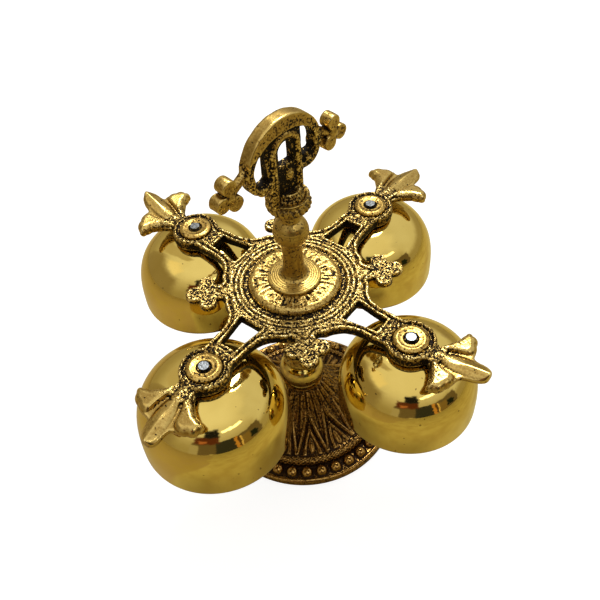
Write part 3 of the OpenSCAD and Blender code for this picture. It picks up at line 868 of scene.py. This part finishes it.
def polished_brass(name, tarnish=0.0):
    """Mirror-polished brass with smears, fine marks, a few pinholes and brown tarnish."""
    material, tree, shader, place = new_material(name)
    smear = noise_value(tree, place, 16.0, 2.0)
    fine = noise_value(tree, place, 2.2, 2.0)
    ripple = noise_value(tree, place, 11.0, 1.0)
    holes = spread(tree, noise_value(tree, place, 2.6, 1.0), 0.745, 0.775)
    stain = spread(tree, noise_value(tree, place, 12.0, 4.0), 0.62 - tarnish, 0.80 - tarnish)
    warm = mix_colour(tree, spread(tree, smear, 0.3, 0.7), rgb(0.70, 0.52, 0.135), rgb(0.77, 0.585, 0.165))
    warm = mix_colour(tree, times(tree, stain, 0.35 + 2.0 * tarnish), warm, rgb(0.36, 0.22, 0.09))
    warm = mix_colour(tree, times(tree, holes, 0.7), warm, rgb(0.12, 0.07, 0.02))
    rough = spread(tree, plus(tree, smear, times(tree, fine, 0.3)), 0.3, 1.1, 0.04, 0.1)
    rough = plus(tree, rough, times(tree, stain, 0.05 + tarnish))
    set_surface(tree, shader, warm, 1.0, rough, ripple, 0.25, 0.0001)
    return material


def turned_brass():
    """Lathe-turned satin brass: fine rings about the stem, darker stains, and the painted shade that the stem
    stores under the grip.
    """
    material, tree, shader, place = new_material("turned_brass")
    ring_pitch = 0.0009
    x, y, z = add(tree, "SeparateXYZ", {0: place}).outputs
    flat = add(tree, "CombineXYZ", {0: x, 1: y}).outputs[0]
    reach = add(tree, "VectorMath", {0: flat}, operation="LENGTH").outputs["Value"]
    rings = calculate(tree, "SINE", times(tree, plus(tree, reach, z), 2 * math.pi / ring_pitch))
    stains = noise_value(tree, place, 7.0, 4.0)
    pits = noise_value(tree, place, 1.1, 3.0)
    dirt = plus(tree, times(tree, stored(tree, "groove"), 6.0), weigh(tree, stains, 0.5, 2.4))
    dirt = plus(tree, dirt, weigh(tree, pits, 0.5, 8.5))
    # Painted shade stored by the stem, under the grip, darkens it further
    dark = spread(tree, plus(tree, dirt, times(tree, stored(tree, "shade_and_patina"), 0.6)), 0.4, 1.1)
    lines = plus(tree, stains, times(tree, rings, 0.22))
    tone = mix_colour(tree, lines, rgb(0.40, 0.26, 0.06), rgb(0.60, 0.42, 0.12))
    tone = mix_colour(tree, dark, tone, rgb(0.07, 0.04, 0.012))
    metallic = spread(tree, dark, 0.4, 1.0, 1.0, 0.6)
    rough = spread(tree, dark, 0, 1, 0.3, 0.5)
    height = plus(tree, times(tree, rings, 0.3), times(tree, pits, 0.6))
    set_surface(tree, shader, tone, metallic, rough, height, 0.7, 0.00015)
    return material


def steel():
    """Bright plated steel with a hammered grain."""
    material, tree, shader, place = new_material("steel")
    grain = noise_value(tree, place, 0.9, 3.0)
    tone = mix_colour(tree, grain, rgb(0.03, 0.03, 0.03), rgb(0.36, 0.39, 0.41))
    set_surface(tree, shader, tone, 1.0, spread(tree, grain, 0.3, 0.7, 0.22, 0.42), grain, 0.6, 0.00015)
    return material


def leather():
    """Dark leather, for the thin washers."""
    material, tree, shader, place = new_material("leather")
    grain = noise_value(tree, place, 0.6, 3.0)
    tone = mix_colour(tree, grain, rgb(0.03, 0.015, 0.008), rgb(0.09, 0.05, 0.025))
    set_surface(tree, shader, tone, 0.0, spread(tree, grain, 0.2, 0.8, 0.55, 0.8), grain, 0.5, 0.0001)
    return material


CASTING = antique_brass("antique_brass")
GRIP_CASTING = antique_brass("grip_antique_brass")
DARK_CASTING = antique_brass("dark_antique_brass", (0.80, 0.68, 0.62), 0.16, 0.5, (0.035, 0.016, 0.006))
BOSS_BRASS = antique_brass("boss_brass", (1.1, 1.1, 1.1), -0.3, 0.6)
POLISHED = polished_brass("polished_brass")
TARNISHED = polished_brass("tarnished_brass", 0.2)
TURNED = turned_brass()
STEEL = steel()
LEATHER = leather()


# ---------------------------------------------------------------- pieces
def finish_piece(piece, material, body, slot, *nodes):
    piece.data.materials.clear()
    piece.data.materials.append(material)
    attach(piece, body)
    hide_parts(*nodes)


finish_piece(build_cross_frame(), CASTING, "stand", "antique_brass", "cross_frame")
finish_piece(build_grip(), GRIP_CASTING, "stand", "antique_brass", "grip")
finish_piece(build_foot(), DARK_CASTING, "stand", "antique_brass", "foot")
finish_piece(build_knop(), TARNISHED, "stand", "polished_brass", "knop")
finish_piece(build_column(), TURNED, "stand", "turned_brass", "column")
finish_piece(build_stem(), TURNED, "stand", "turned_brass", "handle_stem")
for arm in ARMS:
    finish_piece(build_boss_disc(arm), BOSS_BRASS, "stand", "polished_brass", "boss_nuts")
for arm in ARMS:
    finish_piece(build_bell(arm), POLISHED, "stand", "polished_brass", "bell_" + arm)

# The CAD nodes that still show take their slot's material
SLOT_MATERIAL = {"antique_brass": CASTING, "polished_brass": POLISHED, "turned_brass": TURNED,
                 "steel": STEEL, "leather": LEATHER}
for part in frame["record"]["subparts"]:
    node_object = frame["nodes"][part["node"]]
    if not node_object.hide_render:
        node_object.data.materials.clear()
        node_object.data.materials.append(SLOT_MATERIAL[part["material_slot"]])


# ---------------------------------------------------------------- stage, light and camera
def build_floor():
    """A floor that is plain white to the camera, and a mottled yellow-brown to the brass that mirrors it."""
    bpy.ops.mesh.primitive_plane_add(size=8)
    floor = bpy.context.object
    floor.name = "floor"
    material, tree, shader, place = new_material("floor")
    seen = add(tree, "LightPath").outputs["Is Camera Ray"]
    x, y, _ = add(tree, "SeparateXYZ", {0: place}).outputs
    wave = times(tree, calculate(tree, "SINE", times(tree, y, 26.0)), 0.02)
    across = plus(tree, times(tree, x, 0.756), times(tree, y, 0.654))
    sheet = spread(tree, plus(tree, across, wave), -0.105, -0.095)
    mottle = noise_value(tree, place, 60.0, 3.0)
    cloth = mix_colour(tree, sheet, rgb(0.45, 0.36, 0.20), rgb(0.56, 0.50, 0.24))
    cloth = mix_colour(tree, spread(tree, mottle, 0.35, 0.7), cloth, rgb(0.46, 0.38, 0.17))
    link_or_set(tree, shader.inputs["Base Color"], mix_colour(tree, seen, cloth, rgb(0.3, 0.3, 0.3)))
    shader.inputs["Emission Color"].default_value = rgb(1, 1, 1)
    link_or_set(tree, shader.inputs["Emission Strength"], times(tree, seen, 0.86))
    shader.inputs["Roughness"].default_value = 0.9
    shader.inputs["Specular IOR Level"].default_value = 0.1
    floor.data.materials.append(material)


# Blocks of the painted surroundings, in degrees round and up: colour, left, right, bottom, top, soft edge
SKY_PATCHES = (
    ((0.33, 0.27, 0.17), -181, -105, -15, 42, 9),
    ((0.80, 0.775, 0.72), 20, 125, 18, 62, 8),
    ((1.12, 1.02, 0.84), -168, -122, 46, 64, 5),
    ((0.60, 0.53, 0.40), 158, 176, 30, 70, 2.5),
    ((0.16, 0.12, 0.07), -80, 22, -6, 26, 1.2),
    ((0.80, 0.72, 0.42), -80, -24, -6, -1.5, 0.7),
    ((0.04, 0.04, 0.035), -46, -20, -4, 27, 0.8),
    ((0.62, 0.30, 0.07), -20, -15, -6, 26, 0.7),
    ((0.10, 0.05, 0.02), -15, -12, -6, 24, 0.7),
    ((0.85, 0.60, 0.25), -12, -9, -4, 22, 0.7),
    ((0.24, 0.16, 0.06), -8, 4, -6, 20, 0.8),
    ((0.015, 0.02, 0.015), 3, 14, 3, 15, 0.8),
    ((0.45, 0.40, 0.30), -82, -70, -2, 20, 1.0),
    ((0.12, 0.035, 0.015), -78, -40, 24, 40, 2),
    ((0.5, 0.18, 0.08), -70, -58, 26, 31, 1.5),
    ((0.015, 0.015, 0.018), -64, -38, 38, 56, 2),
    ((3.4, 3.4, 3.3), -32, 8, 45, 50.5, 1.0),
)


def build_world():
    """A pale light tent, open towards the front onto a dim room; the camera itself sees plain white."""
    world = bpy.data.worlds.new("tent")
    bpy.context.scene.world = world
    world.use_nodes = True
    tree = world.node_tree
    tree.nodes.clear()
    degrees = 180 / math.pi
    x, y, z = add(tree, "SeparateXYZ", {0: add(tree, "TexCoord").outputs["Generated"]}).outputs
    azimuth = times(tree, calculate(tree, "ARCTAN2", y, x), degrees)
    height = times(tree, calculate(tree, "ARCSINE", z), degrees)
    # A little sway keeps the blocks' edges from being ruler-straight
    sway = add(tree, "TexNoise", {"Scale": 9.0, "Detail": 2.0}).outputs["Color"]
    sway = add(tree, "SeparateColor", {0: sway})
    azimuth = plus(tree, azimuth, weigh(tree, sway.outputs[0], 0.5, 9.0))
    height = plus(tree, height, weigh(tree, sway.outputs[1], 0.5, 7.0))

    def within(value, low, high, soft):
        above = spread(tree, value, low - soft, low + soft)
        return times(tree, above, spread(tree, value, high + soft, high - soft))

    sky = mix_colour(tree, spread(tree, height, 5, 72), rgb(0.42, 0.36, 0.22), rgb(1.0, 0.97, 0.92))
    for colour, left, right, bottom, top, soft in SKY_PATCHES:
        share = times(tree, within(azimuth, left, right, soft), within(height, bottom, top, soft))
        sky = mix_colour(tree, share, sky, rgb(*colour))
    seen = mix_colour(tree, add(tree, "LightPath").outputs["Is Camera Ray"], sky, rgb(1.0, 1.0, 1.0))
    background = add(tree, "Background", {"Color": seen, "Strength": 1.0})
    add(tree, "OutputWorld", {"Surface": background.outputs[0]})


def build_light():
    """A soft round lamp, behind and above."""
    place, aim = Vector((-0.2, 0.35, 0.8)), Vector((0, 0, 0.1))
    lamp = bpy.data.lights.new("key", "AREA")
    lamp.shape = "DISK"
    lamp.size = 0.3
    lamp.energy = 4.0
    holder = bpy.data.objects.new("key", lamp)
    holder.location = place
    holder.rotation_euler = (aim - place).to_track_quat("-Z", "Y").to_euler()
    bpy.context.scene.collection.objects.link(holder)


def build_camera():
    """A camera above the set and to its front right, rolled slightly, looking down at its middle."""
    eye = Vector((0.1792, -0.2073, 0.3985))
    aim = Vector((-0.00026, 0.00325, 0.0974))
    roll = math.radians(-4.31)
    camera = bpy.data.cameras.new("camera")
    camera.sensor_width = 36
    camera.lens = 45.66
    camera.clip_start = 0.01
    holder = bpy.data.objects.new("camera", camera)
    look = (aim - eye).to_track_quat("-Z", "Y").to_matrix().to_4x4()
    holder.matrix_world = Matrix.Translation(eye) @ look @ Matrix.Rotation(roll, 4, "Z")
    bpy.context.scene.collection.objects.link(holder)
    bpy.context.scene.camera = holder


build_floor()
build_world()
build_light()
build_camera()
bpy.context.scene.view_settings.view_transform = "Standard"
bpy.context.scene.view_settings.look = "None"
